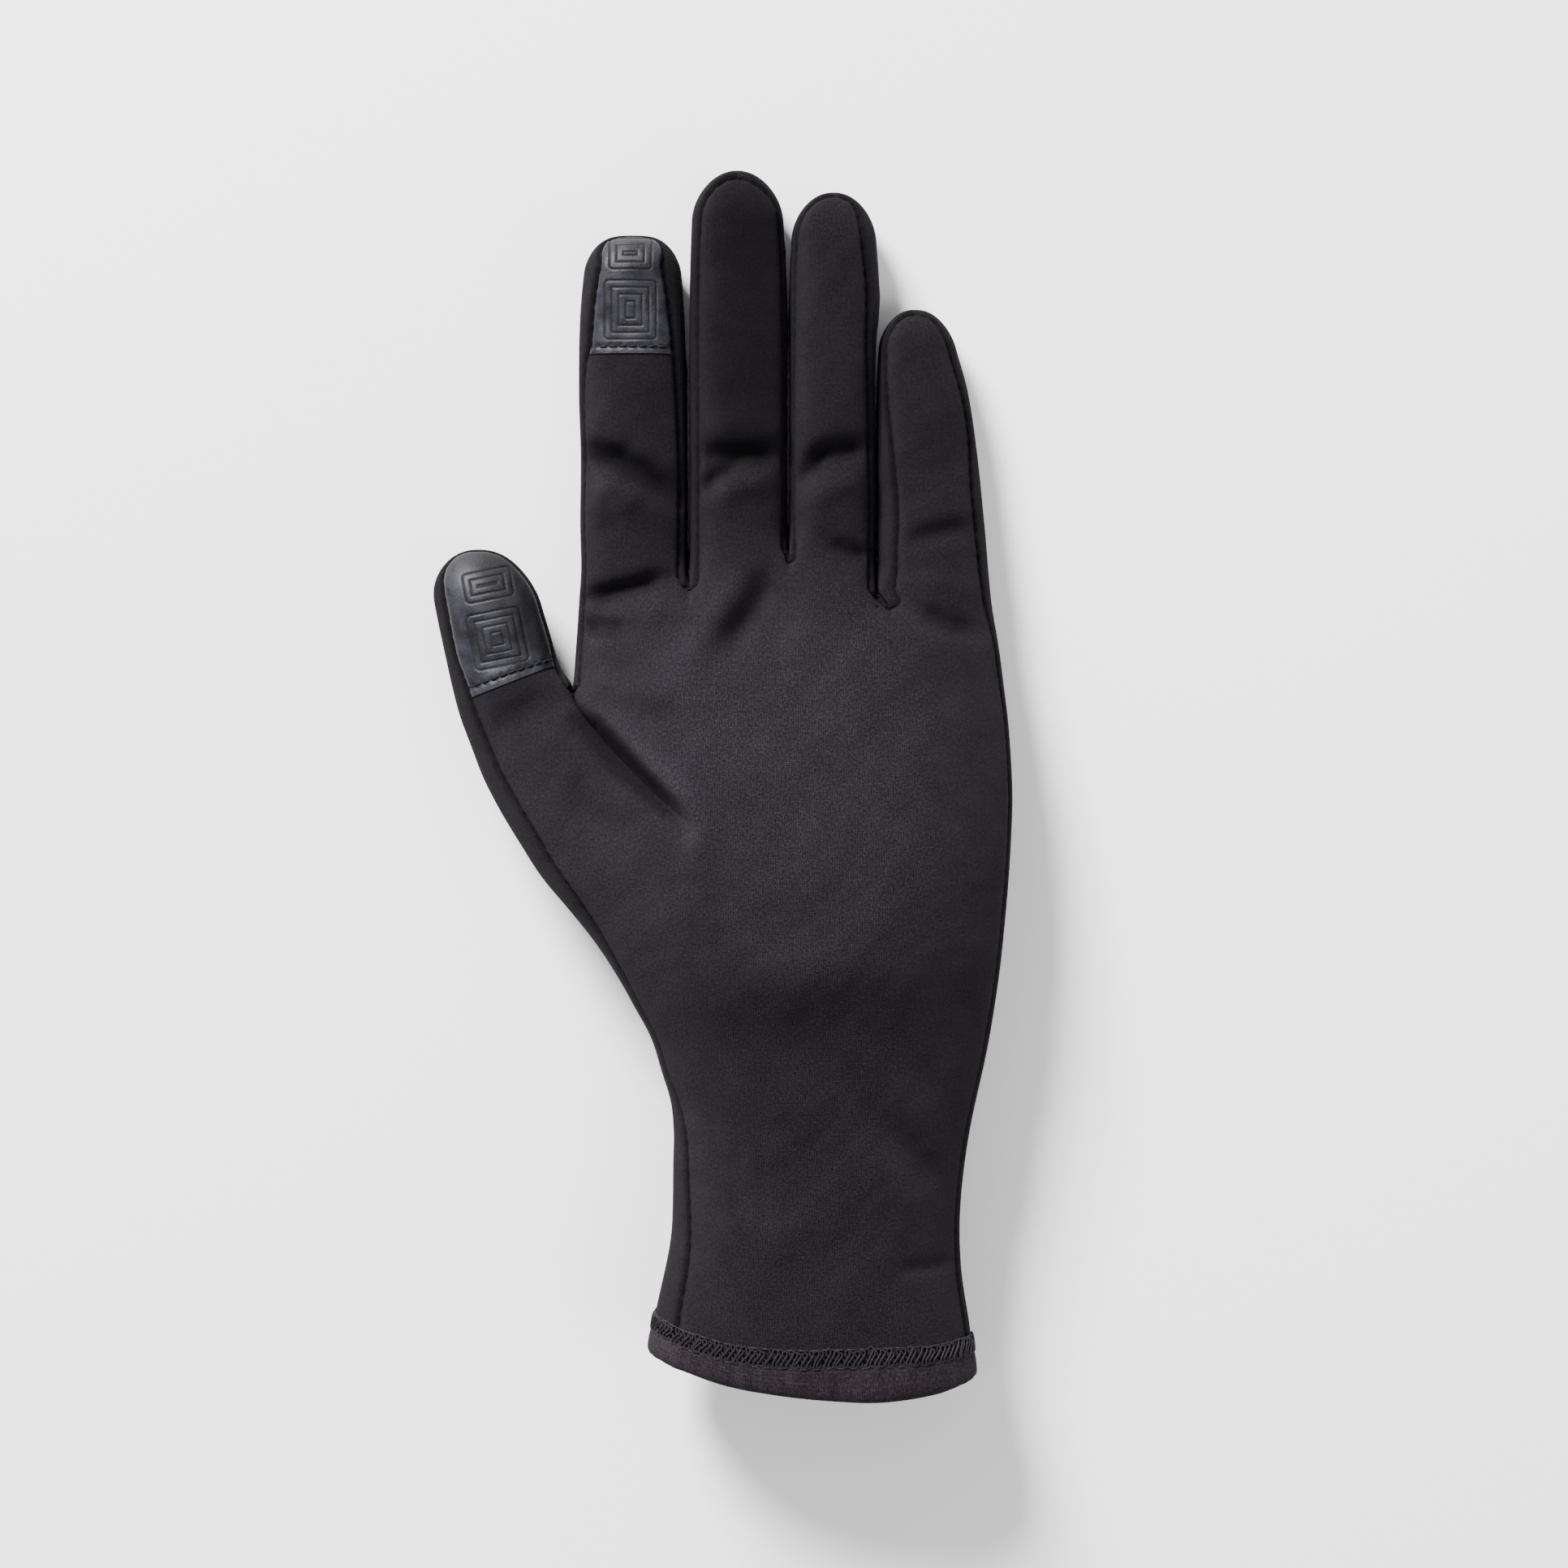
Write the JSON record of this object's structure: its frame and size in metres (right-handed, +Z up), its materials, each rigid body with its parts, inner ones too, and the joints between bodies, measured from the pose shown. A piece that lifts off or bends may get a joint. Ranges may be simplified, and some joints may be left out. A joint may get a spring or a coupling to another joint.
{
  "type": "touchscreen glove",
  "caption": "Hollow knit liner glove for a left hand, lying palm up, with embossed touchscreen pads on thumb and index tips, strip forks between the fingers and a folded, stitched cuff hem.",
  "frame": {"origin": "plan centre of the glove's box on the surface that the back of the glove lies on", "axes": "+Y from the cuff to the fingertips, +X from the thumb side to the little-finger side, +Z up, out of the palm side"},
  "size_m": [0.1192, 0.252, 0.035],
  "materials": {
    "palm_knit": "fine stretch knit, charcoal, slight sheen",
    "back_knit": "fine stretch knit, charcoal, slight sheen",
    "fork_knit": "fine stretch knit, charcoal",
    "hem_knit": "folded stretch knit",
    "pad_leather": "thin coated synthetic leather, embossed, semi-gloss",
    "thread": "polyester sewing thread"
  },
  "bodies": {
    "index_lower": {"index_lower_front": "palm_knit", "index_lower_fork_right": "fork_knit", "index_lower_back": "back_knit"},
    "index_middle": {"index_middle_front": "palm_knit", "index_middle_fork_right": "fork_knit", "index_middle_back": "back_knit"},
    "index_tip": {"index_pad": "pad_leather", "index_tip_fork_right": "fork_knit", "index_tip_back": "back_knit", "index_pad_stitch": "thread"},
    "middle_lower": {"middle_lower_front": "palm_knit", "middle_lower_fork_left": "fork_knit", "middle_lower_fork_right": "fork_knit", "middle_lower_back": "back_knit"},
    "middle_middle": {"middle_middle_front": "palm_knit", "middle_middle_fork_left": "fork_knit", "middle_middle_fork_right": "fork_knit", "middle_middle_back": "back_knit"},
    "middle_tip": {"middle_tip_front": "palm_knit", "middle_tip_fork_left": "fork_knit", "middle_tip_fork_right": "fork_knit", "middle_tip_back": "back_knit"},
    "ring_lower": {"ring_lower_front": "palm_knit", "ring_lower_fork_left": "fork_knit", "ring_lower_fork_right": "fork_knit", "ring_lower_back": "back_knit"},
    "ring_middle": {"ring_middle_front": "palm_knit", "ring_middle_fork_left": "fork_knit", "ring_middle_fork_right": "fork_knit", "ring_middle_back": "back_knit"},
    "ring_tip": {"ring_tip_front": "palm_knit", "ring_tip_fork_left": "fork_knit", "ring_tip_fork_right": "fork_knit", "ring_tip_back": "back_knit"},
    "little_lower": {"little_lower_front": "palm_knit", "little_lower_fork_left": "fork_knit", "little_lower_back": "back_knit"},
    "little_middle": {"little_middle_front": "palm_knit", "little_middle_fork_left": "fork_knit", "little_middle_back": "back_knit"},
    "little_tip": {"little_tip_front": "palm_knit", "little_tip_fork_left": "fork_knit", "little_tip_back": "back_knit"},
    "thumb_lower": {"thumb_lower_front": "palm_knit", "thumb_lower_back": "back_knit"},
    "thumb_tip": {"thumb_pad": "pad_leather", "thumb_tip_back": "back_knit", "thumb_pad_stitch": "thread"},
    "palm": {"palm_panel": "palm_knit", "fork_index_middle": "fork_knit", "fork_middle_ring": "fork_knit", "fork_ring_little": "fork_knit", "back_panel": "back_knit"},
    "cuff": {"cuff_front": "palm_knit", "cuff_back": "back_knit", "hem_band": "hem_knit", "hem_coverstitch": "thread"}
  },
  "joints": [
    {"name": "wrist_flex", "type": "hinge", "parent": "palm", "child": "cuff", "pos_m": [0.02068, -0.06184, 0.0316], "axis": [-1, 0, 0], "range_deg": [0, 50]},
    {"name": "thumb_base", "type": "hinge", "parent": "palm", "child": "thumb_lower", "pos_m": [-0.03072, 0.01857, 0.0236], "axis": [0.6899, 0.7239, 0], "range_deg": [0, 45]},
    {"name": "thumb_tip_bend", "type": "hinge", "parent": "thumb_lower", "child": "thumb_tip", "pos_m": [-0.04302, 0.01977, 0.0228], "axis": [0.9245, 0.3812, 0], "range_deg": [0, 50]},
    {"name": "index_base", "type": "hinge", "parent": "palm", "child": "index_lower", "pos_m": [-0.01832, 0.04317, 0.0192], "axis": [1, 0, 0], "range_deg": [0, 70]},
    {"name": "index_knuckle", "type": "hinge", "parent": "index_lower", "child": "index_middle", "pos_m": [-0.01832, 0.06416, 0.0182], "axis": [1, 0, 0], "range_deg": [0, 85]},
    {"name": "index_tip_bend", "type": "hinge", "parent": "index_middle", "child": "index_tip", "pos_m": [-0.01832, 0.08736, 0.017], "axis": [1, 0, 0], "range_deg": [0, 40]},
    {"name": "middle_base", "type": "hinge", "parent": "palm", "child": "middle_lower", "pos_m": [0.00318, 0.04816, 0.0198], "axis": [1, 0, 0], "range_deg": [0, 70]},
    {"name": "middle_knuckle", "type": "hinge", "parent": "middle_lower", "child": "middle_middle", "pos_m": [0.00318, 0.06767, 0.0188], "axis": [1, 0, 0], "range_deg": [0, 85]},
    {"name": "middle_tip_bend", "type": "hinge", "parent": "middle_middle", "child": "middle_tip", "pos_m": [0.00318, 0.09366, 0.0176], "axis": [1, 0, 0], "range_deg": [0, 40]},
    {"name": "ring_base", "type": "hinge", "parent": "palm", "child": "ring_lower", "pos_m": [0.02318, 0.04816, 0.0194], "axis": [1, 0, 0], "range_deg": [0, 70]},
    {"name": "ring_knuckle", "type": "hinge", "parent": "ring_lower", "child": "ring_middle", "pos_m": [0.02318, 0.06667, 0.0184], "axis": [1, 0, 0], "range_deg": [0, 85]},
    {"name": "ring_tip_bend", "type": "hinge", "parent": "ring_middle", "child": "ring_tip", "pos_m": [0.02318, 0.09166, 0.0172], "axis": [1, 0, 0], "range_deg": [0, 40]},
    {"name": "little_base", "type": "hinge", "parent": "palm", "child": "little_lower", "pos_m": [0.04368, 0.03877, 0.0182], "axis": [1, 0, 0], "range_deg": [0, 70]},
    {"name": "little_knuckle", "type": "hinge", "parent": "little_lower", "child": "little_middle", "pos_m": [0.04368, 0.05196, 0.0172], "axis": [1, 0, 0], "range_deg": [0, 85]},
    {"name": "little_tip_bend", "type": "hinge", "parent": "little_middle", "child": "little_tip", "pos_m": [0.04368, 0.07416, 0.0158], "axis": [1, 0, 0], "range_deg": [0, 40]}
  ]
}
